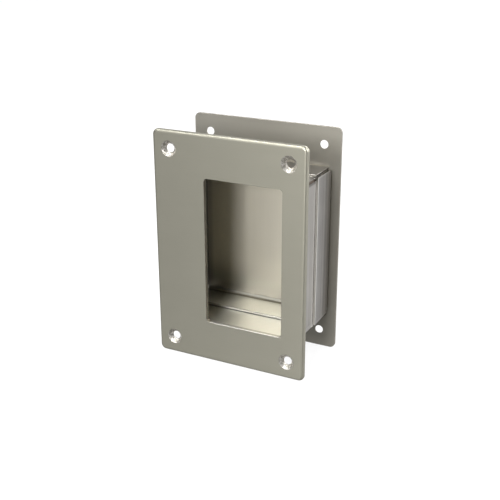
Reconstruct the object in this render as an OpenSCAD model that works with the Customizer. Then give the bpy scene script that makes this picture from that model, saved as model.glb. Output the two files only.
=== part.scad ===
// Recessed door pull in stainless steel. A front plate with a finger opening carries
// a folded sleeve, a blank rear plate carries a folded tray, and the tray closes over
// the sleeve, so that the two halves make one finger pocket through the door leaf.
// X runs across the plates, Y into the door and Z up. The origin is at the middle of
// the depth, on the plates' lower edges.

/* [Plates] */
// Width of both plates
plate_w = 90; // [86:0.5:110]
// Height of both plates
plate_h = 130; // [118:0.5:160]
// Thickness of both plates
plate_t = 2.5; // [2:0.1:4]
// Corner radius of the plates' outline
plate_corner_r = 3.2; // [2.5:0.1:8]
// Rounding of the plates' outer edges
edge_round = 1.6; // [0.4:0.1:1.8]

/* [Fixing holes] */
// Distance from a plate's edges to its hole centres
hole_inset = 10; // [8:0.5:12]
// Diameter of the fixing holes
hole_d = 4.7; // [4:0.1:6.5]
// Straight wall left under each countersink
head_land = 0.4; // [0.2:0.05:0.6]
// Included angle of the countersinks
head_angle = 90; // [80:1:100]

/* [Finger opening] */
// Width of the opening in the front plate
opening_w = 45.6; // [36:0.2:50]
// Height of the opening in the front plate
opening_h = 82.6; // [60:0.2:88]
// Distance of the opening's centre to the right of the plate's centre
opening_shift = 8.75; // [7:0.25:10]
// Corner radius of the opening
opening_corner_r = 2; // [1:0.1:6]

/* [Pocket] */
// Clear distance between the plates, which is the thickness of the door
door_t = 43; // [36:0.5:47]
// Thickness of the folded sheet
sheet_t = 1.2; // [0.8:0.1:1.5]
// Reach of the pocket behind the front plate, left of the opening
finger_room = 23.8; // [18:0.2:26]
// Reach of the pocket behind the front plate, right of the opening
side_room = 6.3; // [4:0.1:8]
// Distance of the sleeve's floor below the opening
floor_drop = 2.7; // [1:0.1:5]
// Distance of the sleeve's ceiling below the opening's upper edge
ceiling_lap = 0.5; // [0:0.1:1]

/* [Sleeve and tray] */
// Depth of the sleeve, measured from the front plate
sleeve_depth = 31; // [26:0.5:33]
// Depth of the tray, measured from the rear plate
tray_depth = 20; // [15:0.5:30]
// Inner radius of the sleeve's folds
sleeve_fold_r = 0.8; // [0.5:0.1:2]
// Inner radius of the tray's folds
tray_fold_r = 2; // [1:0.1:2.5]
// Sliding gap between the sleeve and the tray at the sides
side_gap = 0.25; // [0.2:0.05:0.4]
// Sliding gap between the sleeve and the tray above and below
rise_gap = 0.3; // [0.2:0.05:1]
// Height of the lower ends of the tray's side walls above its underside
side_lift = 0.6; // [0:0.1:3]
// Open slit between neighbouring walls at the tray's upper corners
corner_slit = 0.15; // [0.1:0.05:0.5]

/* [Hidden] */
$fn = 64;
// Overshoot of a cutter past the face that it opens
cut = 0.5;
mid_z = plate_h / 2;
front_inner_y = -door_t / 2;
rear_inner_y = door_t / 2;
// Countersink
head_depth = plate_t - head_land;
head_flare = tan(head_angle / 2);
// The pocket's clear space inside the sleeve
pocket_left = opening_shift - opening_w / 2 - finger_room;
pocket_right = opening_shift + opening_w / 2 + side_room;
pocket_floor = -opening_h / 2 - floor_drop;
pocket_ceiling = opening_h / 2 - ceiling_lap;
pocket_w = pocket_right - pocket_left;
pocket_mid_x = (pocket_left + pocket_right) / 2;
// The tray closes over the sleeve at the top and sides, and its floor lies inside
tray_w = pocket_w + 4 * sheet_t + 2 * side_gap;
tray_top = pocket_ceiling + 2 * sheet_t + rise_gap;
tray_bottom = pocket_floor + rise_gap;
tray_h = tray_top - tray_bottom;
tray_mid_z = (tray_top + tray_bottom) / 2;
tray_floor_w = pocket_w - 2 * side_gap;
tray_corner = sheet_t + corner_slit;
fold_outer_r = tray_fold_r + sheet_t;

// Rectangle with round corners, centred on the origin
module rounded_rect(w, h, r) {
    square([w - 2 * r, h], center = true);
    square([w, h - 2 * r], center = true);
    for (x = [-1, 1], y = [-1, 1])
        translate([x * (w / 2 - r), y * (h / 2 - r)])
            circle(r);
}

// Quarter disc in the first quadrant
module quarter_disc(r) {
    intersection() {
        circle(r);
        square(r);
    }
}

// Rounded rim of a plate, from its inner flat at z = 0 up to its face at z = edge_round
module rounded_rim() {
    turn_r = plate_corner_r - edge_round;
    run_x = plate_w / 2 - plate_corner_r;
    run_y = plate_h / 2 - plate_corner_r;
    for (side = [0, 1])
        rotate([0, 0, side * 180]) {
            translate([plate_w / 2 - edge_round, run_y, 0])
                rotate([90, 0, 0])
                    linear_extrude(2 * run_y)
                        quarter_disc(edge_round);
            translate([-run_x, plate_h / 2 - edge_round, 0])
                rotate([90, 0, 90])
                    linear_extrude(2 * run_x)
                        quarter_disc(edge_round);
            translate([run_x, run_y, 0])
                rotate_extrude(angle = 90)
                    translate([turn_r, 0])
                        quarter_disc(edge_round);
            translate([-run_x, run_y, 0])
                rotate([0, 0, 90])
                    rotate_extrude(angle = 90)
                        translate([turn_r, 0])
                            quarter_disc(edge_round);
        }
}

// Countersunk through hole along Z, its head opening at z = plate_t
module fixing_hole() {
    translate([0, 0, -cut])
        cylinder(h = plate_t + 2 * cut, d = hole_d);
    translate([0, 0, head_land])
        cylinder(h = head_depth + cut, d1 = hole_d,
                 d2 = hole_d + 2 * (head_depth + cut) * head_flare);
}

// Plate lying flat, its inner face at z = 0 and its rounded outer face at z = plate_t
module plate_blank() {
    difference() {
        union() {
            linear_extrude(plate_t - edge_round)
                rounded_rect(plate_w, plate_h, plate_corner_r);
            linear_extrude(plate_t)
                rounded_rect(plate_w - 2 * edge_round, plate_h - 2 * edge_round,
                             plate_corner_r - edge_round);
            translate([0, 0, plate_t - edge_round])
                rounded_rim();
        }
        for (x = [-1, 1], y = [-1, 1])
            translate([x * (plate_w / 2 - hole_inset), y * (plate_h / 2 - hole_inset), 0])
                fixing_hole();
    }
}

module front_plate() {
    color("silver")
        translate([0, front_inner_y, mid_z])
            rotate([90, 0, 0])
                difference() {
                    plate_blank();
                    translate([opening_shift, 0, -cut])
                        linear_extrude(plate_t + 2 * cut)
                            rounded_rect(opening_w, opening_h, opening_corner_r);
                }
}

module rear_plate() {
    color("silver")
        translate([0, rear_inner_y, mid_z])
            rotate([90, 0, 180])
                plate_blank();
}

// Sheet strip folded into a rectangular frame, its front edge on the front plate
module front_sleeve() {
    sleeve_w = pocket_w + 2 * sheet_t;
    sleeve_h = pocket_ceiling - pocket_floor + 2 * sheet_t;
    color("lightgray")
        translate([pocket_mid_x, front_inner_y + sleeve_depth,
                   mid_z + (pocket_ceiling + pocket_floor) / 2])
            rotate([90, 0, 0])
                linear_extrude(sleeve_depth)
                    difference() {
                        rounded_rect(sleeve_w, sleeve_h, sleeve_fold_r + sheet_t);
                        rounded_rect(pocket_w, pocket_ceiling - pocket_floor, sleeve_fold_r);
                    }
}

// Section of a folded wall: the back sheet ends at x = 0, the fold turns it through a
// right angle, and the wall stands along +y from there
module fold_section() {
    difference() {
        intersection() {
            translate([0, fold_outer_r])
                circle(fold_outer_r);
            square(fold_outer_r);
        }
        translate([0, fold_outer_r])
            circle(tray_fold_r);
    }
}

// One tray wall: a fold of length fold_l at the back sheet, and the flat wall above it,
// from wall_from to wall_to along its own length
module tray_wall(fold_l, wall_from, wall_to) {
    rotate([90, 0, 0])
        translate([0, 0, -fold_l / 2])
            linear_extrude(fold_l)
                fold_section();
    translate([tray_fold_r, wall_from, fold_outer_r])
        cube([sheet_t, wall_to - wall_from, tray_depth - fold_outer_r]);
}

// Open tray lying flat, its back sheet on z = 0 and its walls standing up
module tray() {
    flat_w = tray_w - 2 * fold_outer_r;
    flat_h = tray_h - 2 * fold_outer_r;
    side_from = -tray_h / 2 + side_lift;
    side_to = tray_h / 2 - tray_corner;
    translate([-flat_w / 2, -flat_h / 2, 0])
        cube([flat_w, flat_h, sheet_t]);
    translate([flat_w / 2, 0, 0])
        tray_wall(flat_h, side_from, side_to);
    translate([-flat_w / 2, 0, 0])
        rotate([0, 0, 180])
            tray_wall(flat_h, -side_to, -side_from);
    translate([0, flat_h / 2, 0])
        rotate([0, 0, 90])
            tray_wall(flat_w, -tray_w / 2 + tray_corner, tray_w / 2 - tray_corner);
    translate([0, -flat_h / 2, 0])
        rotate([0, 0, -90])
            tray_wall(flat_w, -tray_floor_w / 2, tray_floor_w / 2);
}

module rear_tray() {
    color("lightgray")
        translate([pocket_mid_x, rear_inner_y, mid_z + tray_mid_z])
            rotate([90, 0, 0])
                tray();
}

front_plate();
front_sleeve();
rear_plate();
rear_tray();
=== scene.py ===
"""Looks of a recessed stainless steel door pull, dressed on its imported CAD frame.

Two plates carry the two halves of a finger pocket: the front plate a folded sleeve, the rear
plate a folded tray that slides over it. All lengths are in metres in the row frame: X runs
across the plates, Y into the door, Z up, with the origin on the plates' lower edges.
"""

import math

import bmesh
import bpy
from mathutils import Matrix, Vector


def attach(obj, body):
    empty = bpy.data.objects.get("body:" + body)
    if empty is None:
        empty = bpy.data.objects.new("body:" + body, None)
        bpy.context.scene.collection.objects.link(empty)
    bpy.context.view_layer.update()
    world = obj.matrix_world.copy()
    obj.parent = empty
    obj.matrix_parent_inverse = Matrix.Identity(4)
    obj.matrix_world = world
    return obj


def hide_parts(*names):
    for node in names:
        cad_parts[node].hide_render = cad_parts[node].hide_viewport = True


MM = 0.001

# Plates, with the same sizes as in the CAD model. The countersinks open at 90 degrees.
PLATE_W = 90 * MM
PLATE_H = 130 * MM
PLATE_T = 2.5 * MM
PLATE_CORNER = 3.2 * MM
EDGE_ROUND = 1.6 * MM
HOLE_INSET = 10 * MM
HOLE_SPAN_X = PLATE_W - 2 * HOLE_INSET
HOLE_SPAN_Z = PLATE_H - 2 * HOLE_INSET
BORE = 4.7 * MM
HEAD_LAND = 0.4 * MM
HEAD = BORE + 2 * (PLATE_T - HEAD_LAND)
DOOR_T = 43 * MM
MID_Z = PLATE_H / 2

# Opening in the front plate
OPENING_W = 45.6 * MM
OPENING_H = 82.6 * MM
OPENING_SHIFT = 8.75 * MM
OPENING_CORNER = 2 * MM

# Pocket inside the folded sleeve, its heights measured from the plates' middle
SHEET_T = 1.2 * MM
FINGER_ROOM = 23.8 * MM
SIDE_ROOM = 6.3 * MM
POCKET_HALF_W = (OPENING_W + FINGER_ROOM + SIDE_ROOM) / 2
POCKET_FLOOR = -OPENING_H / 2 - 2.7 * MM
POCKET_CEILING = OPENING_H / 2 - 0.5 * MM
SLEEVE_DEPTH = 31 * MM
SLEEVE_FOLD = 0.8 * MM

# Folded tray, which closes over the sleeve and lays its floor inside it
SIDE_GAP = 0.25 * MM
RISE_GAP = 0.3 * MM
TRAY_DEPTH = 20 * MM
TRAY_FOLD = 2 * MM
TRAY_HALF_W = POCKET_HALF_W + 2 * SHEET_T + SIDE_GAP
TRAY_TOP = POCKET_CEILING + 2 * SHEET_T + RISE_GAP
TRAY_BOTTOM = POCKET_FLOOR + RISE_GAP
TRAY_FLOOR_HALF_W = POCKET_HALF_W - SIDE_GAP
SIDE_LIFT = 0.6 * MM
TRAY_CORNER_GAP = SHEET_T + 0.15 * MM
TRAY_MOUTH = DOOR_T / 2 - TRAY_DEPTH

# Small broken edges, and the narrow strip that keeps a flat face's shading flat
EDGE_BREAK = 0.1 * MM
TRAY_EDGE = 0.42 * MM
TRAY_EDGE_STEPS = 4
TRAY_EDGE_ANGLE = math.radians(50)
STRIP = 0.25 * MM
WELD = 0.002 * MM
COUNT_SLACK = 0.5
ARC_STEPS = 12
RING_STEPS = 64
EDGE_STEPS = 3
FOLD_STEPS = 10
SHARP_ANGLE = math.radians(30)

# Colours of the brushed plates, their opening and their countersinks
FRONT_DARK = (0.258, 0.250, 0.206, 1)
FRONT_LIGHT = (0.281, 0.272, 0.227, 1)
REAR_DARK = (0.262, 0.250, 0.218, 1)
REAR_LIGHT = (0.288, 0.276, 0.240, 1)
# Painted shade on the right-hand rim's rounding, darker than the face
RIM_SHADE = (0.215, 0.208, 0.172, 1)
# Painted shadow on the opening's left-hand cut face, and a painted highlight on its sill
MOUTH_SHADED = (0.17, 0.16, 0.14, 1)
SILL_HIGHLIGHT = (0.47, 0.455, 0.42, 1)
CONE_DARK = (0.24, 0.23, 0.20, 1)
CONE_LIGHT = (0.50, 0.48, 0.45, 1)

# Colours of the rolled sheet, inside the pocket and outside it
# Painted light: inside the pocket the sheet is painted far lighter than outside it, and its floor
# lighter than its walls
POCKET_DARK = (0.585, 0.55, 0.462, 1)
POCKET_LIGHT = (0.63, 0.595, 0.50, 1)
FLOOR_DARK = (0.71, 0.705, 0.655, 1)
FLOOR_LIGHT = (0.77, 0.765, 0.71, 1)
# Painted shade on the lower part of the pocket's back
POCKET_SHADE = (0.36, 0.34, 0.288, 1)
# Painted shade along the pocket's folds at its back
FOLD_SHADE = (0.24, 0.23, 0.20, 1)
# Painted shade in the tray's inner corners
CORNER_DARK = (0.22, 0.21, 0.18, 1)
SLEEVE_DARK = (0.32, 0.305, 0.285, 1)
SLEEVE_LIGHT = (0.42, 0.405, 0.385, 1)
TRAY_DARK = (0.232, 0.222, 0.213, 1)
TRAY_LIGHT = (0.33, 0.316, 0.304, 1)
# Bare cut edge at the tray's mouth, lightened with a painted highlight, less so along the floor
CUT_EDGE_HIGHLIGHT = (0.85, 0.83, 0.79, 1)
FLOOR_EDGE = (0.42, 0.41, 0.38, 1)
# Brown tint together with painted shade in the seams and along the low slit
SEAM_TINT_AND_SHADE = (0.045, 0.034, 0.026, 1)
# Painted shade over the sleeve's upper bends
BEND_SHADE = (0.16, 0.152, 0.142, 1)
# Painted light on the sleeve's sides beside the tray's mouth, which weakens the shadow line there
SIDE_PAINTED_LIGHT = (0.53, 0.517, 0.495, 1)

# Noise rates per metre. Lines run along the axis that has the slow rate.
BRUSH_LINES = (30, 2400, 2400)
UPRIGHT_STREAKS = (420, 420, 5)
LEVEL_STREAKS = (5, 420, 420)
DRAW_MARKS = (1500, 1500, 22)
LINE_DETAIL = 3.0
CLOUDS = 35.0
CHIPS = 1100.0
WAVES = 260.0
STAINS = 60.0
SOFT_DETAIL = 2.0
STAIN_DETAIL = 4.0

# Each pair says where a mark is at its full strength and where it has faded out. The rim's
# pairs are distances from a plate's right-hand edge, and the bend's from the sleeve's seam.
RIM_INNER_SIDE = (1.45 * MM, 1.75 * MM)
RIM_OUTER_SIDE = (0.9 * MM, 0.55 * MM)
CHIPS_SHOW = (0.6, 0.42)
TONE_SHOWS = (0.62, 0.38)
# Painted shade: where it is full and where it fades on the pocket's lower back, along its folds, at
# its sides and in its corners
BACK_SHADE = (TRAY_BOTTOM + 4 * MM, TRAY_BOTTOM + 26 * MM)
FOLD_SHADE_TOP = (TRAY_BOTTOM + 2.4 * MM, TRAY_BOTTOM + 3.4 * MM)
FOLD_SHADE_FOOT = (TRAY_BOTTOM + 2.2 * MM, TRAY_BOTTOM + 1.7 * MM)
SIDE_SHADE = (POCKET_HALF_W - 2 * MM, POCKET_HALF_W - 5 * MM)
CORNER_SHADE = (POCKET_HALF_W - 0.2 * MM, POCKET_HALF_W - 1.0 * MM)
BEND = (1.2 * MM, 2.6 * MM)
SIDE_LIGHT_REACH = (TRAY_MOUTH - 1.4 * MM, TRAY_MOUTH - 3.4 * MM)
LOW_SEAM = (0, 0.5 * MM)

# Seams: a point of each in the section across the pocket, and how far its brown tint and painted
# shade spread.
# The low seam, along the lower ends of the tray's side walls, climbs a little to the back.
SLEEVE_SEAM = (POCKET_HALF_W + SHEET_T - 0.2 * MM, POCKET_CEILING + SHEET_T - 1.1 * MM)
SLEEVE_SEAM_REACH = 0.75 * MM
TRAY_SEAM = (TRAY_HALF_W - SHEET_T / 2, TRAY_TOP - SHEET_T / 2)
TRAY_SEAM_REACH = 1.0 * MM
SEAM_CORE = 0.75
LOW_SEAM_RISE = 0.05
LOW_SEAM_WALL = 1.2 * SHEET_T

# How far above its sheet the floor's colour reaches, and the shape of the painted shade along the
# folds
FLOOR_REACH = 0.1 * MM
FOLD_SHADE_WAVE = 1.2 * MM
SIDE_SHADE_SHARE = 0.4

# Shares of the streaks and stains in the tone outside the pocket, and the level walls' lift
STREAK_SHARE = 0.8
STAIN_SHARE = 0.2
LEVEL_LIFT = 0.15

# Roughness of each finish, and what the marks on it add
PLATE_ROUGH = 0.42
BRUSH_ROUGH = 0.1
CONE_POLISH = 0.02
SHEET_ROUGH = 0.26
MARK_ROUGH = 0.06
BEND_AND_SIDE_ROUGH = 0.25
POCKET_ROUGH = 0.16
FOLD_SHADE_ROUGH = 0.2

# Relief: the depth that a height of 1 stands for, and the height of each mark
PLATE_RELIEF = 0.02 * MM
SHEET_RELIEF = 0.05 * MM
BRUSH_HEIGHT = 0.05
RING_HEIGHT = 0.5
RING_STEP = 0.45 * MM
CHIP_HEIGHT = 1.8
MARK_HEIGHT = 0.08
STREAK_HEIGHT = 0.2

# Stretch of the highlights, and the quarter turn that lays it level on the plates
PLATE_ANISOTROPY = 0.4
SHEET_ANISOTROPY = 0.2
QUARTER_TURN = 0.25

# Studio: a place is an azimuth and an elevation in degrees, a side is in metres
WHITE = (1, 1, 1, 1)
FLOOR_COLOUR = (0.9, 0.9, 0.9, 1)
FLOOR_RADIUS = 6.0
FLOOR_GLOW = 0.85
FLOOR_DIMMING = {"From Min": -0.15, "From Max": 0.1, "To Min": 0.25, "To Max": 0.6}
ROOM_DIMMING = {"From Min": -0.3, "From Max": 0.3, "To Min": 0.1, "To Max": 0.9}
LAMP_DISTANCE = 2.5
SOFTBOX_SIDE = 0.75
WIDE_SOFTBOX_SIDE = 1.0

# Camera at the photograph's place; its lens and sensor are in millimetres
CAMERA_PLACE = (0.2115, -0.4127, 0.2375)
CAMERA_AZIMUTH = 27.02
CAMERA_ELEVATION = 20.89
CAMERA_ROLL = 0.12
CAMERA_LENS = 64.05
CAMERA_SENSOR = 36
CAMERA_NEAR = 0.01

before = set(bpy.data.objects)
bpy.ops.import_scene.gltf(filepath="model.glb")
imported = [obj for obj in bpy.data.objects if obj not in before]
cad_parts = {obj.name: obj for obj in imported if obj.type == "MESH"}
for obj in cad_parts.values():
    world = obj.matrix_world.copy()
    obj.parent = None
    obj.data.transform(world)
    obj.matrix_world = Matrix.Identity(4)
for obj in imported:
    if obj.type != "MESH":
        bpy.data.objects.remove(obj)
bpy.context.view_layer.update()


class Sock:
    """A node socket that takes arithmetic: each operation adds a Math node to its tree."""

    def __init__(self, tree, socket):
        self.tree = tree
        self.socket = socket

    def math(self, operation, *others):
        return self.tree.add("ShaderNodeMath", {"operation": operation}, [self, *others])

    def __add__(self, other):
        return self.math("ADD", other)

    __radd__ = __add__

    def __sub__(self, other):
        return self.math("SUBTRACT", other)

    def __rsub__(self, other):
        return self.tree.add("ShaderNodeMath", {"operation": "SUBTRACT"}, [other, self])

    def __mul__(self, other):
        return self.math("MULTIPLY", other)

    __rmul__ = __mul__

    def __truediv__(self, other):
        return self.math("DIVIDE", other)

    def __neg__(self):
        return self * -1

    def __abs__(self):
        return self.math("ABSOLUTE")

    def __pow__(self, power):
        return self.math("POWER", power)

    def __gt__(self, other):
        return self.math("GREATER_THAN", other)

    def __lt__(self, other):
        return self.math("LESS_THAN", other)


class Tree:
    """Builds a node tree: add() makes one node and returns one of its outputs."""

    def __init__(self, nodes, links):
        self.nodes = nodes
        self.links = links

    def add(self, kind, settings=None, inputs=(), output=0):
        node = self.nodes.new(kind)
        for name, value in (settings or {}).items():
            setattr(node, name, value)
        pairs = inputs.items() if isinstance(inputs, dict) else enumerate(inputs)
        for key, value in pairs:
            self.put(node.inputs[key], value)
        return Sock(self, node.outputs[output]) if node.outputs else None

    def put(self, target, value):
        if isinstance(value, (list, tuple)) and value and isinstance(value[0], Sock):
            for part in value:
                self.links.new(part.socket, target)
        elif isinstance(value, Sock):
            self.links.new(value.socket, target)
        else:
            target.default_value = value


# Materials


def new_material(name):
    material = bpy.data.materials.new(name)
    material.use_nodes = True
    tree = material.node_tree
    tree.nodes.clear()
    return material, Tree(tree.nodes, tree.links)


def finish_material(build, shader):
    build.add("ShaderNodeOutputMaterial", None, {"Surface": shader})


def axes(build, place):
    """The three coordinates of a point, each as a number."""
    return [build.add("ShaderNodeSeparateXYZ", None, [place], axis) for axis in range(3)]


def fade(build, value, full, none):
    """1 where the value is at full, 0 where it is at none, and a soft run between them."""
    ends = {"Value": value, "From Min": none, "From Max": full}
    return build.add("ShaderNodeMapRange", {"interpolation_type": "SMOOTHSTEP"}, ends)


def mixed(build, factor, first, second):
    colours = {"Factor": factor, 6: first, 7: second}
    return build.add("ShaderNodeMix", {"data_type": "RGBA"}, colours, 2)


def lines(build, place, rates):
    """Noise with its own rate along each axis, drawn out into fine lines along the slow one."""
    stretched = build.add("ShaderNodeMapping", None, {"Vector": place, "Scale": rates})
    noise = {"Vector": stretched, "Scale": 1.0, "Detail": LINE_DETAIL}
    return build.add("ShaderNodeTexNoise", None, noise)


def blotches(build, place, rate, detail=SOFT_DETAIL):
    """Noise with the same rate along every axis."""
    noise = {"Vector": place, "Scale": rate, "Detail": detail}
    return build.add("ShaderNodeTexNoise", None, noise)


def distance(across, up):
    return (across * across + up * up) ** 0.5


def steel(build, colour, rough, height, relief, anisotropy, turn):
    bump = build.add(
        "ShaderNodeBump", None, {"Strength": 1.0, "Distance": relief, "Height": height}
    )
    return build.add(
        "ShaderNodeBsdfPrincipled",
        None,
        {
            "Base Color": colour,
            "Metallic": 1.0,
            "Roughness": rough,
            "Anisotropic": anisotropy,
            "Anisotropic Rotation": turn,
            "Normal": bump,
        },
    )


def brushed_plate(name, dark, light):
    """Satin steel plate with fine level brush lines, and turned countersinks."""
    material, build = new_material(name)
    place = build.add("ShaderNodeTexCoord", None, (), "Object")
    x, y, z = axes(build, place)
    level = z - MID_Z
    brushed = lines(build, place, BRUSH_LINES)
    chips = blotches(build, place, CHIPS)

    # Painted shade: the right-hand rim's rounding is painted darker than the face
    from_edge = PLATE_W / 2 - x
    rim = fade(build, from_edge, *RIM_INNER_SIDE) * fade(build, from_edge, *RIM_OUTER_SIDE)
    right_rim = rim * (abs(y) > DOOR_T / 2 + PLATE_T / 2)
    face = mixed(build, blotches(build, place, CLOUDS), dark, light)
    flat = mixed(build, right_rim, face, RIM_SHADE)

    # Countersinks, with turning rings and small chips
    from_hole = distance(abs(x) - HOLE_SPAN_X / 2, abs(level) - HOLE_SPAN_Z / 2)
    cone = (from_hole < HEAD / 2) * (abs(y) > DOOR_T / 2 + HEAD_LAND / 2)
    rings = (from_hole * (2 * math.pi / RING_STEP)).math("SINE")
    turned = mixed(build, fade(build, chips, *CHIPS_SHOW), CONE_DARK, CONE_LIGHT)

    # Cut faces of the opening: painted shadow on its left-hand side, a painted highlight on its
    # sill
    in_front = y < 0
    from_side = x - (OPENING_SHIFT - OPENING_W / 2)
    on_sill = (abs(level + OPENING_H / 2) < 2 * EDGE_BREAK) * in_front
    sill = on_sill * (from_side > OPENING_CORNER) * (from_side < OPENING_W)
    beside = (from_side > -2 * EDGE_BREAK) * (from_side < OPENING_CORNER)
    in_mouth = (abs(level) < OPENING_H / 2 - EDGE_BREAK) * in_front
    mouth_side = beside * in_mouth * (y > EDGE_BREAK / 2 - DOOR_T / 2 - PLATE_T)

    edged = mixed(build, sill, mixed(build, cone, flat, turned), SILL_HIGHLIGHT)
    colour = mixed(build, mouth_side, edged, MOUTH_SHADED)
    rough = PLATE_ROUGH + BRUSH_ROUGH * brushed - CONE_POLISH * cone
    height = BRUSH_HEIGHT * brushed + cone * (RING_HEIGHT * rings + CHIP_HEIGHT * chips)
    shader = steel(build, colour, rough, height, PLATE_RELIEF, PLATE_ANISOTROPY, QUARTER_TURN)
    finish_material(build, shader)
    return material


def inside_pocket(build, x, y, level, in_tray):
    """1 on the sheet's faces that look into the finger pocket, 0 on those outside it."""
    half_w = POCKET_HALF_W + SHEET_T / 2 + (TRAY_HALF_W - POCKET_HALF_W - SHEET_T) * in_tray
    top = POCKET_CEILING + SHEET_T / 2 + (TRAY_TOP - POCKET_CEILING - SHEET_T) * in_tray
    bottom = POCKET_FLOOR - SHEET_T / 2 + (TRAY_BOTTOM - POCKET_FLOOR + SHEET_T) * in_tray
    in_depth = y < DOOR_T / 2 - SHEET_T / 2
    return (abs(x) < half_w) * (level < top) * (level > bottom) * in_depth


def folded_sheet(name, outside_dark, outside_light, seam_place, seam_reach, on_sleeve):
    """Rolled sheet: warm and lighter inside the pocket as painted light, greyer towards the door,
    brown seams with painted shade.

    on_sleeve is 1 for the sleeve, whose upper bends carry painted shade and whose sides carry a
    band of painted light beside the tray's mouth, and 0 for the tray.
    """
    material, build = new_material(name)
    place = build.add("ShaderNodeTexCoord", None, (), "Object")
    x, y, z = axes(build, place)
    level = z - MID_Z
    aside = abs(x)
    in_tray = y > SLEEVE_DEPTH - DOOR_T / 2
    pocket = inside_pocket(build, x, y, level, in_tray)
    marks = lines(build, place, DRAW_MARKS)

    # Inside, painted light and shade: a floor painted lighter than the walls, painted shade on the
    # back that darkens downwards, and a wavy band of painted shade along the folds
    on_floor = level < TRAY_BOTTOM + SHEET_T + FLOOR_REACH
    walls = mixed(build, marks, POCKET_DARK, POCKET_LIGHT)
    floor = mixed(build, marks, FLOOR_DARK, FLOOR_LIGHT)
    at_back = y > DOOR_T / 2 - SHEET_T - TRAY_FOLD
    back_shade = fade(build, level, *BACK_SHADE) * at_back
    back_shaded = mixed(build, back_shade, mixed(build, on_floor, walls, floor), POCKET_SHADE)
    wavy_level = level - FOLD_SHADE_WAVE * blotches(build, place, WAVES)
    low_fold_shade = fade(build, wavy_level, *FOLD_SHADE_TOP) * fade(build, level, *FOLD_SHADE_FOOT)
    side_fold_shade = SIDE_SHADE_SHARE * fade(build, aside, *SIDE_SHADE)
    folds = low_fold_shade.math("MAXIMUM", side_fold_shade) * at_back
    fold_shaded = mixed(build, folds, back_shaded, FOLD_SHADE)
    # Painted shade in the tray's inner corners
    corner = fade(build, aside, *CORNER_SHADE) * in_tray
    inside = mixed(build, corner, fold_shaded, CORNER_DARK)

    # Outside: streaks from rolling, upright on the sides and level on the top and bottom
    is_level = abs(level) > POCKET_CEILING + SHEET_T / 2
    upright = lines(build, place, UPRIGHT_STREAKS)
    streaks = upright + is_level * (lines(build, place, LEVEL_STREAKS) - upright)
    stain = blotches(build, place, STAINS, STAIN_DETAIL)
    mottle = STREAK_SHARE * streaks + STAIN_SHARE * stain + LEVEL_LIFT * is_level
    rolled = mixed(build, fade(build, mottle, *TONE_SHOWS), outside_dark, outside_light)
    seam_x, seam_level = seam_place
    from_seam = distance(aside - seam_x, level - seam_level)
    # Painted shade on the sleeve's upper bends
    bend = on_sleeve * fade(build, from_seam, *BEND)
    on_side = on_sleeve * (aside > POCKET_HALF_W + SHEET_T / 2)
    # Painted light on the sleeve's sides beside the tray's mouth, which weakens the shadow line
    # there
    side_light = on_side * fade(build, y, *SIDE_LIGHT_REACH)
    outside = mixed(build, bend, mixed(build, side_light, rolled, SIDE_PAINTED_LIGHT), BEND_SHADE)
    # Painted light: the pocket's faces take the lighter inside colours
    both_sides = mixed(build, pocket, outside, inside)

    # Bare cut edge at the tray's mouth, lightened with a painted highlight, and brown tint with
    # painted shade in the seams
    at_mouth = (y > TRAY_MOUTH - TRAY_EDGE) * (y < TRAY_MOUTH + TRAY_EDGE)
    low_edge = (aside < POCKET_HALF_W) * (level < 0)
    edged = mixed(build, at_mouth, both_sides, mixed(build, low_edge, CUT_EDGE_HIGHLIGHT, FLOOR_EDGE))
    seam = fade(build, from_seam, SEAM_CORE * seam_reach, seam_reach)
    low_end = TRAY_BOTTOM + SIDE_LIFT + LOW_SEAM_RISE * (y - TRAY_MOUTH)
    on_tray_side = aside > TRAY_HALF_W - LOW_SEAM_WALL
    low_seam = fade(build, level - low_end, *LOW_SEAM) * on_tray_side
    colour = mixed(build, seam.math("MAXIMUM", low_seam), edged, SEAM_TINT_AND_SHADE)

    bend_and_side_rough = BEND_AND_SIDE_ROUGH * bend.math("MAXIMUM", side_light)
    in_pocket = pocket * (POCKET_ROUGH + FOLD_SHADE_ROUGH * folds)
    rough = SHEET_ROUGH + MARK_ROUGH * marks + bend_and_side_rough + in_pocket
    height = MARK_HEIGHT * marks + STREAK_HEIGHT * (1 - pocket) * streaks
    shader = steel(build, colour, rough, height, SHEET_RELIEF, SHEET_ANISOTROPY, 0)
    finish_material(build, shader)
    return material


# Studio


def ray_kind(build, kind):
    """1 on rays of that kind, which is the name of an output of Light Path."""
    return build.add("ShaderNodeLightPath", None, (), kind)


def dimmed(build, place, ends):
    """Strength that grows from the room in front of the pull to the room behind it."""
    depth = build.add("ShaderNodeSeparateXYZ", None, [place], 1)
    smooth = {"interpolation_type": "SMOOTHSTEP"}
    return build.add("ShaderNodeMapRange", smooth, {"Value": depth, **ends})


def white_floor():
    """Pale floor that stays white to the camera and in the metal, and keeps a soft shadow."""
    material, build = new_material("studio floor")
    diffuse = build.add("ShaderNodeBsdfDiffuse", None, {"Color": FLOOR_COLOUR})
    seen = ray_kind(build, "Is Camera Ray")
    reflected = ray_kind(build, "Is Glossy Ray") + ray_kind(build, "Is Transmission Ray")
    place = build.add("ShaderNodeTexCoord", None, (), "Object")
    strength = seen + reflected * dimmed(build, place, FLOOR_DIMMING)
    glow = build.add("ShaderNodeEmission", None, {"Color": WHITE, "Strength": strength})
    share = (seen + reflected) * FLOOR_GLOW
    shader = build.add("ShaderNodeMixShader", None, [share, diffuse, glow])
    finish_material(build, shader)
    mesh = bpy.data.meshes.new("studio_floor")
    disc = bmesh.new()
    bmesh.ops.create_circle(disc, cap_ends=True, segments=RING_STEPS, radius=FLOOR_RADIUS)
    disc.to_mesh(mesh)
    disc.free()
    mesh.materials.append(material)
    floor = bpy.data.objects.new("studio_floor", mesh)
    bpy.context.scene.collection.objects.link(floor)


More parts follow.
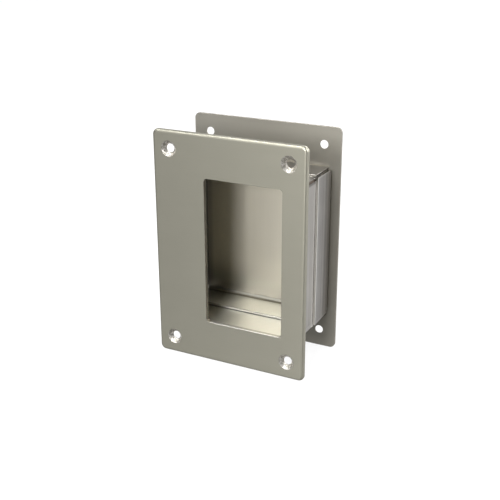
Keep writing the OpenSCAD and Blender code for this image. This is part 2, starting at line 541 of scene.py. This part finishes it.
def direction(azimuth, elevation):
    """Unit vector from the pull to a place in the studio, its angles in degrees."""
    across, up = math.radians(azimuth), math.radians(elevation)
    level = math.cos(up)
    return Vector((math.sin(across) * level, -math.cos(across) * level, math.sin(up)))


def softbox(name, azimuth, elevation, power, side=SOFTBOX_SIDE):
    """Soft square light on the pull from that direction; azimuth 0 is in front of the plates."""
    lamp = bpy.data.lights.new(name, "AREA")
    lamp.shape = "SQUARE"
    lamp.size = side
    lamp.energy = power
    holder = bpy.data.objects.new(name, lamp)
    towards = direction(azimuth, elevation)
    holder.location = Vector((0, 0, MID_Z)) + LAMP_DISTANCE * towards
    holder.rotation_mode = "QUATERNION"
    holder.rotation_quaternion = (-towards).to_track_quat("-Z", "Y")
    holder.visible_camera = False
    bpy.context.scene.collection.objects.link(holder)


def studio():
    """White backdrop behind the pull, a dimmer room in front of it, and seven softboxes."""
    world = bpy.data.worlds.new("studio")
    world.use_nodes = True
    world.node_tree.nodes.clear()
    build = Tree(world.node_tree.nodes, world.node_tree.links)
    towards = build.add("ShaderNodeTexCoord", None, (), "Generated")
    strength = dimmed(build, towards, ROOM_DIMMING)
    room = build.add("ShaderNodeBackground", None, {"Color": WHITE, "Strength": strength})
    backdrop = build.add("ShaderNodeBackground", None, {"Color": WHITE})
    seen = ray_kind(build, "Is Camera Ray")
    surface = build.add("ShaderNodeMixShader", None, [seen, room, backdrop])
    build.add("ShaderNodeOutputWorld", None, {"Surface": surface})
    bpy.context.scene.world = world
    white_floor()
    softbox("key softbox", 3, 15, power=74)
    softbox("high softbox", 4, 38, power=42)
    softbox("left softbox", -50, 30, power=10)
    softbox("high left softbox", -50, 66, power=48)
    softbox("right softbox", 90, 30, power=80, side=WIDE_SOFTBOX_SIDE)
    softbox("rear right softbox", 140, 15, power=24)
    softbox("rear softbox", 180, 30, power=20)


def camera():
    """Camera at the photograph's place, a little above the pull and to its right."""
    lens = bpy.data.cameras.new("camera")
    lens.lens = CAMERA_LENS
    lens.sensor_width = CAMERA_SENSOR
    lens.clip_start = CAMERA_NEAR
    holder = bpy.data.objects.new("camera", lens)
    back = direction(CAMERA_AZIMUTH, CAMERA_ELEVATION)
    roll = math.radians(CAMERA_ROLL)
    right = Vector((0, 0, 1)).cross(back).normalized()
    up = back.cross(right)
    turned_right = math.cos(roll) * right - math.sin(roll) * up
    turned_up = back.cross(turned_right)
    turn = Matrix((turned_right, turned_up, back)).transposed()
    holder.matrix_world = Matrix.Translation(CAMERA_PLACE) @ turn.to_4x4()
    bpy.context.scene.collection.objects.link(holder)
    bpy.context.scene.camera = holder


# Node groups that shape the plates and the sleeve


def node_group(name, inputs):
    """New Geometry Nodes group with named inputs, its builder and its input sockets."""
    group = bpy.data.node_groups.new(name, "GeometryNodeTree")
    for label, kind in inputs.items():
        group.interface.new_socket(label, in_out="INPUT", socket_type=kind)
    group.interface.new_socket("Geometry", in_out="OUTPUT", socket_type="NodeSocketGeometry")
    build = Tree(group.nodes, group.links)
    sockets = {label: build.add("NodeGroupInput", None, (), label) for label in inputs}
    return group, build, sockets


def point(build, across, height):
    """Point of a wall's section: across runs outwards from the path, height up the plate."""
    return build.add("ShaderNodeCombineXYZ", None, {"X": across, "Y": 0 - height})


def section_line(build, start, end):
    ends = {"Start": point(build, *start), "End": point(build, *end)}
    return build.add("GeometryNodeCurvePrimitiveLine", {"mode": "POINTS"}, ends)


def rounded_outline(build, width, height, corner):
    box = {"Width": width, "Height": height}
    sharp = build.add("GeometryNodeCurvePrimitiveQuadrilateral", None, box)
    return build.add(
        "GeometryNodeFilletCurve",
        {"mode": "POLY"},
        {"Curve": sharp, "Count": ARC_STEPS, "Radius": corner},
    )


def circle(build, radius):
    ring = {"Resolution": RING_STEPS, "Radius": radius}
    return build.add("GeometryNodeCurvePrimitiveCircle", {"mode": "RADIUS"}, ring)


def join(build, parts):
    return build.add("GeometryNodeJoinGeometry", None, {"Geometry": parts})


def wall(build, path, section):
    """Surface that the section's lines sweep along the path."""
    sweep = {"Curve": path, "Profile Curve": join(build, section)}
    return build.add("GeometryNodeCurveToMesh", None, sweep)


def matches(build, value, target, within):
    """1 where the value is the target, give or take that much."""
    sides = {0: value, 1: target, "Epsilon": within}
    return build.add("FunctionNodeCompare", {"operation": "EQUAL"}, sides)


def closing_face(build, walls, height):
    """Flat face that fills between the walls' open ends at that height."""
    face_count = build.add("GeometryNodeInputMeshEdgeNeighbors")
    place = build.add("GeometryNodeInputPosition")
    level = build.add("ShaderNodeSeparateXYZ", None, [place], 2)
    is_end = matches(build, face_count, 1, COUNT_SLACK)
    at_height = matches(build, level, height, WELD)
    ends = {"Mesh": walls, "Selection": is_end * at_height}
    outlines = build.add("GeometryNodeMeshToCurve", None, ends)
    filled = build.add("GeometryNodeFillCurve", {"mode": "TRIANGLES"}, {"Curve": outlines})
    lift = build.add("ShaderNodeCombineXYZ", None, {"Z": height})
    return build.add("GeometryNodeTransform", None, {"Geometry": filled, "Translation": lift})


def at_holes(build, grid, part):
    copies = {"Points": grid, "Instance": part}
    placed = build.add("GeometryNodeInstanceOnPoints", None, copies)
    return build.add("GeometryNodeRealizeInstances", None, [placed])


def end_tree(build, parts, finish):
    whole = build.add("GeometryNodeRealizeInstances", None, [join(build, parts)])
    dressed = {"Geometry": whole, "Material": finish}
    out = build.add("GeometryNodeSetMaterial", None, dressed)
    build.add("NodeGroupOutput", None, [out])


def plate_group():
    """Plate with a rounded rim, four countersunk holes and, if asked for, an opening."""
    lengths = (
        "Width", "Height", "Thickness", "Corner", "Rounding", "Hole Span X", "Hole Span Y",
        "Bore", "Head", "Head Land", "Opening Width", "Opening Height", "Opening Shift",
        "Opening Corner", "Edge Break", "Strip",
    )
    inputs = {label: "NodeSocketFloat" for label in lengths}
    inputs["Has Opening"] = "NodeSocketBool"
    inputs["Finish"] = "NodeSocketMaterial"
    group, build, size = node_group("countersunk plate", inputs)
    thick, rounding, strip = size["Thickness"], size["Rounding"], size["Strip"]
    edge = size["Edge Break"]

    inset = 2 * (rounding + strip)
    face_path = rounded_outline(
        build, size["Width"] - inset, size["Height"] - inset, size["Corner"] - rounding - strip
    )
    rim_x = strip + rounding
    arc = build.add(
        "GeometryNodeCurveArc",
        {"mode": "RADIUS"},
        {
            "Resolution": ARC_STEPS + 1,
            "Radius": rounding,
            "Start Angle": math.radians(-90),
            "Sweep Angle": math.radians(90),
        },
    )
    arc_centre = point(build, strip, thick - rounding)
    rim_arc = build.add("GeometryNodeTransform", None, {"Geometry": arc, "Translation": arc_centre})
    rim = wall(
        build,
        face_path,
        [
            section_line(build, (0, thick), (strip, thick)),
            rim_arc,
            section_line(build, (rim_x, thick - rounding), (rim_x, edge)),
            section_line(build, (rim_x, edge), (rim_x - edge, 0)),
            section_line(build, (rim_x - edge, 0), (rounding - edge, 0)),
        ],
    )
    grid = build.add(
        "GeometryNodeMeshGrid",
        None,
        {
            "Size X": size["Hole Span X"],
            "Size Y": size["Hole Span Y"],
            "Vertices X": 2,
            "Vertices Y": 2,
        },
    )
    head_r = size["Head"] / 2 + strip
    bore_x = size["Bore"] / 2 - head_r
    hole = wall(
        build,
        circle(build, head_r),
        [
            section_line(build, (0, thick), (-strip, thick)),
            section_line(build, (-strip, thick), (bore_x, size["Head Land"])),
            section_line(build, (bore_x, size["Head Land"]), (bore_x, edge)),
            section_line(build, (bore_x, edge), (bore_x + edge, 0)),
            section_line(build, (bore_x + edge, 0), (bore_x + edge + strip, 0)),
        ],
    )
    holes = at_holes(build, grid, hole)

    mouth = rounded_outline(
        build,
        size["Opening Width"] + 2 * strip,
        size["Opening Height"] + 2 * strip,
        size["Opening Corner"] + strip,
    )
    aside = build.add("ShaderNodeCombineXYZ", None, {"X": size["Opening Shift"]})
    mouth = build.add("GeometryNodeTransform", None, {"Geometry": mouth, "Translation": aside})
    mouth = build.add(
        "GeometryNodeSwitch",
        {"input_type": "GEOMETRY"},
        {"Switch": size["Has Opening"], "True": mouth},
    )
    mouth_wall = wall(
        build,
        mouth,
        [
            section_line(build, (0, thick), (edge - strip, thick)),
            section_line(build, (edge - strip, thick), (-strip, thick - edge)),
            section_line(build, (-strip, thick - edge), (-strip, edge)),
            section_line(build, (-strip, edge), (edge - strip, 0)),
            section_line(build, (edge - strip, 0), (0, 0)),
        ],
    )
    walls = build.add(
        "GeometryNodeMergeByDistance",
        None,
        {"Geometry": join(build, [rim, holes, mouth_wall]), "Distance": WELD},
    )
    outer_face = closing_face(build, walls, thick)
    inner_face = closing_face(build, walls, 0)
    end_tree(build, [walls, outer_face, inner_face], size["Finish"])
    return group


def frame_group():
    """Closed rectangular frame folded from a strip of sheet."""
    lengths = ("Clear Width", "Clear Height", "Depth", "Sheet", "Fold", "Edge Break")
    inputs = {label: "NodeSocketFloat" for label in lengths}
    inputs["Finish"] = "NodeSocketMaterial"
    group, build, size = node_group("folded frame", inputs)
    sheet = size["Sheet"]
    path = rounded_outline(
        build, size["Clear Width"] + sheet, size["Clear Height"] + sheet, size["Fold"] + sheet / 2
    )
    strip = build.add(
        "GeometryNodeCurvePrimitiveQuadrilateral", None, {"Width": sheet, "Height": size["Depth"]}
    )
    strip = build.add(
        "GeometryNodeFilletCurve",
        {"mode": "POLY"},
        {"Curve": strip, "Count": EDGE_STEPS, "Radius": size["Edge Break"]},
    )
    end_tree(build, [wall(build, path, [strip])], size["Finish"])
    return group


# Pieces


def plain_object(name, mesh, finish=None):
    piece = bpy.data.objects.new(name, mesh)
    bpy.context.scene.collection.objects.link(piece)
    if finish:
        mesh.materials.append(finish)
    return piece


def made_plain(piece):
    """Turns the piece with its modifiers into a plain mesh of its own, without modifiers."""
    depsgraph = bpy.context.evaluated_depsgraph_get()
    mesh = bpy.data.meshes.new_from_object(piece.evaluated_get(depsgraph))
    mesh.name = piece.name
    piece.modifiers.clear()
    piece.data = mesh
    return piece


def weld(mesh):
    """Merges the doubles where swept walls meet flat faces, and turns all faces outwards."""
    work = bmesh.new()
    work.from_mesh(mesh)
    bmesh.ops.remove_doubles(work, verts=work.verts, dist=WELD)
    bmesh.ops.recalc_face_normals(work, faces=work.faces)
    work.to_mesh(mesh)
    work.free()


def smooth_shaded(piece):
    """Smooth folds and rims, crisp edges, and flat faces that shade flat."""
    piece.data.shade_smooth()
    piece.data.set_sharp_from_angle(angle=SHARP_ANGLE)
    weights = piece.modifiers.new("weighted normals", "WEIGHTED_NORMAL")
    weights.keep_sharp = True
    return made_plain(piece)


def from_group(name, group, values, place):
    """Piece that a node group makes from these values, set in its place in the row frame."""
    piece = plain_object(name, bpy.data.meshes.new(name))
    modifier = piece.modifiers.new("shape", "NODES")
    modifier.node_group = group
    for item in group.interface.items_tree:
        if item.in_out == "INPUT":
            modifier[item.identifier] = values[item.name]
    made_plain(piece)
    weld(piece.data)
    piece.data.materials.clear()
    piece.data.materials.append(values["Finish"])
    piece.data.transform(place)
    return smooth_shaded(piece)


def standing(y, turn=0):
    """Place of a piece modelled lying flat, stood up at that depth, its back towards +Y."""
    upright = Matrix.Rotation(math.radians(90), 4, "X")
    turned = Matrix.Rotation(math.radians(turn), 4, "Z")
    return Matrix.Translation((0, y, MID_Z)) @ turned @ upright


def pull_plate(name, node, body, group, y, turn, has_opening, finish):
    """Plate whose inner face lies at that depth, its outer face turned away from the door."""
    values = {
        "Width": PLATE_W,
        "Height": PLATE_H,
        "Thickness": PLATE_T,
        "Corner": PLATE_CORNER,
        "Rounding": EDGE_ROUND,
        "Hole Span X": HOLE_SPAN_X,
        "Hole Span Y": HOLE_SPAN_Z,
        "Bore": BORE,
        "Head": HEAD,
        "Head Land": HEAD_LAND,
        "Opening Width": OPENING_W,
        "Opening Height": OPENING_H,
        "Opening Shift": OPENING_SHIFT,
        "Opening Corner": OPENING_CORNER,
        "Edge Break": EDGE_BREAK,
        "Strip": STRIP,
        "Has Opening": has_opening,
        "Finish": finish,
    }
    plate = from_group(name, group, values, standing(y, turn))
    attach(plate, body)
    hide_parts(node)


def sleeve(finish):
    """Rectangular frame folded from a strip, standing on the back of the front plate."""
    values = {
        "Clear Width": 2 * POCKET_HALF_W,
        "Clear Height": POCKET_CEILING - POCKET_FLOOR,
        "Depth": SLEEVE_DEPTH,
        "Sheet": SHEET_T,
        "Fold": SLEEVE_FOLD,
        "Edge Break": EDGE_BREAK,
        "Finish": finish,
    }
    middle = Matrix.Translation((0, 0, (POCKET_CEILING + POCKET_FLOOR) / 2))
    depth = -DOOR_T / 2 + SLEEVE_DEPTH / 2
    piece = from_group("folded_sleeve", frame_group(), values, middle @ standing(depth))
    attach(piece, "front_half")
    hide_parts("front_sleeve")


def fold_rows():
    """Distance from the fold's start and height above the back, for each row of a fold."""
    radius = TRAY_FOLD + SHEET_T / 2
    for step in range(FOLD_STEPS + 1):
        angle = math.radians(90) * step / FOLD_STEPS
        yield radius * math.sin(angle), SHEET_T / 2 + radius * (1 - math.cos(angle))


def tray_wall(work, turn, reach, fold_half, wall_from, wall_to):
    """One folded wall of the tray's middle surface, turned by quarter turns round the tray."""
    spin = Matrix.Rotation(math.radians(90) * turn, 4, "Z")

    def strip(rows, low, high):
        pairs = [
            [work.verts.new(spin @ Vector((reach + x, y, z))) for y in (low, high)]
            for x, z in rows
        ]
        for (a, b), (c, d) in zip(pairs, pairs[1:]):
            work.faces.new((a, c, d, b))

    rows = list(fold_rows())
    strip(rows, -fold_half, fold_half)
    upright = [rows[-1], (rows[-1][0], TRAY_DEPTH)]
    for low, high in ((wall_from, -fold_half), (-fold_half, fold_half), (fold_half, wall_to)):
        strip(upright, low, high)


def tray(finish):
    """Tray folded from one sheet, with open corner slits; its lower wall is the narrower one."""
    work = bmesh.new()
    flat_w = TRAY_HALF_W - TRAY_FOLD - SHEET_T
    half_h = (TRAY_TOP - TRAY_BOTTOM) / 2
    flat_top = half_h - TRAY_FOLD - SHEET_T
    corners = ((-1, -1), (1, -1), (1, 1), (-1, 1))
    back = [work.verts.new((x * flat_w, y * flat_top, SHEET_T / 2)) for x, y in corners]
    work.faces.new(back)
    side_low = SIDE_LIFT - half_h
    side_high = half_h - TRAY_CORNER_GAP
    top_half = TRAY_HALF_W - TRAY_CORNER_GAP
    tray_wall(work, 0, flat_w, flat_top, side_low, side_high)
    tray_wall(work, 1, flat_top, flat_w, -top_half, top_half)
    tray_wall(work, 2, flat_w, flat_top, -side_high, -side_low)
    tray_wall(work, 3, flat_top, flat_w, -TRAY_FLOOR_HALF_W, TRAY_FLOOR_HALF_W)
    bmesh.ops.remove_doubles(work, verts=work.verts, dist=WELD)
    bmesh.ops.recalc_face_normals(work, faces=work.faces)
    mesh = bpy.data.meshes.new("folded_tray")
    work.to_mesh(mesh)
    work.free()
    middle = Matrix.Translation((0, 0, (TRAY_TOP + TRAY_BOTTOM) / 2))
    mesh.transform(middle @ standing(DOOR_T / 2))
    piece = plain_object("folded_tray", mesh, finish)
    wall_thickness = piece.modifiers.new("sheet", "SOLIDIFY")
    wall_thickness.thickness = SHEET_T
    wall_thickness.offset = 0
    wall_thickness.use_even_offset = True
    edges = piece.modifiers.new("broken edges", "BEVEL")
    edges.width = TRAY_EDGE
    edges.segments = TRAY_EDGE_STEPS
    edges.limit_method = "ANGLE"
    edges.angle_limit = TRAY_EDGE_ANGLE
    smooth_shaded(made_plain(piece))
    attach(piece, "rear_half")
    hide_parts("rear_tray")


front_steel = brushed_plate("front plate steel", FRONT_DARK, FRONT_LIGHT)
rear_steel = brushed_plate("rear plate steel", REAR_DARK, REAR_LIGHT)
sleeve_steel = folded_sheet(
    "sleeve sheet steel", SLEEVE_DARK, SLEEVE_LIGHT, SLEEVE_SEAM, SLEEVE_SEAM_REACH, 1
)
tray_steel = folded_sheet(
    "tray sheet steel", TRAY_DARK, TRAY_LIGHT, TRAY_SEAM, TRAY_SEAM_REACH, 0
)
plates = plate_group()
pull_plate(
    "opening_plate", "front_plate", "front_half", plates, -DOOR_T / 2, 0, True, front_steel
)
pull_plate("blank_plate", "rear_plate", "rear_half", plates, DOOR_T / 2, 180, False, rear_steel)
sleeve(sleeve_steel)
tray(tray_steel)

studio()
camera()
bpy.context.scene.view_settings.view_transform = "Standard"
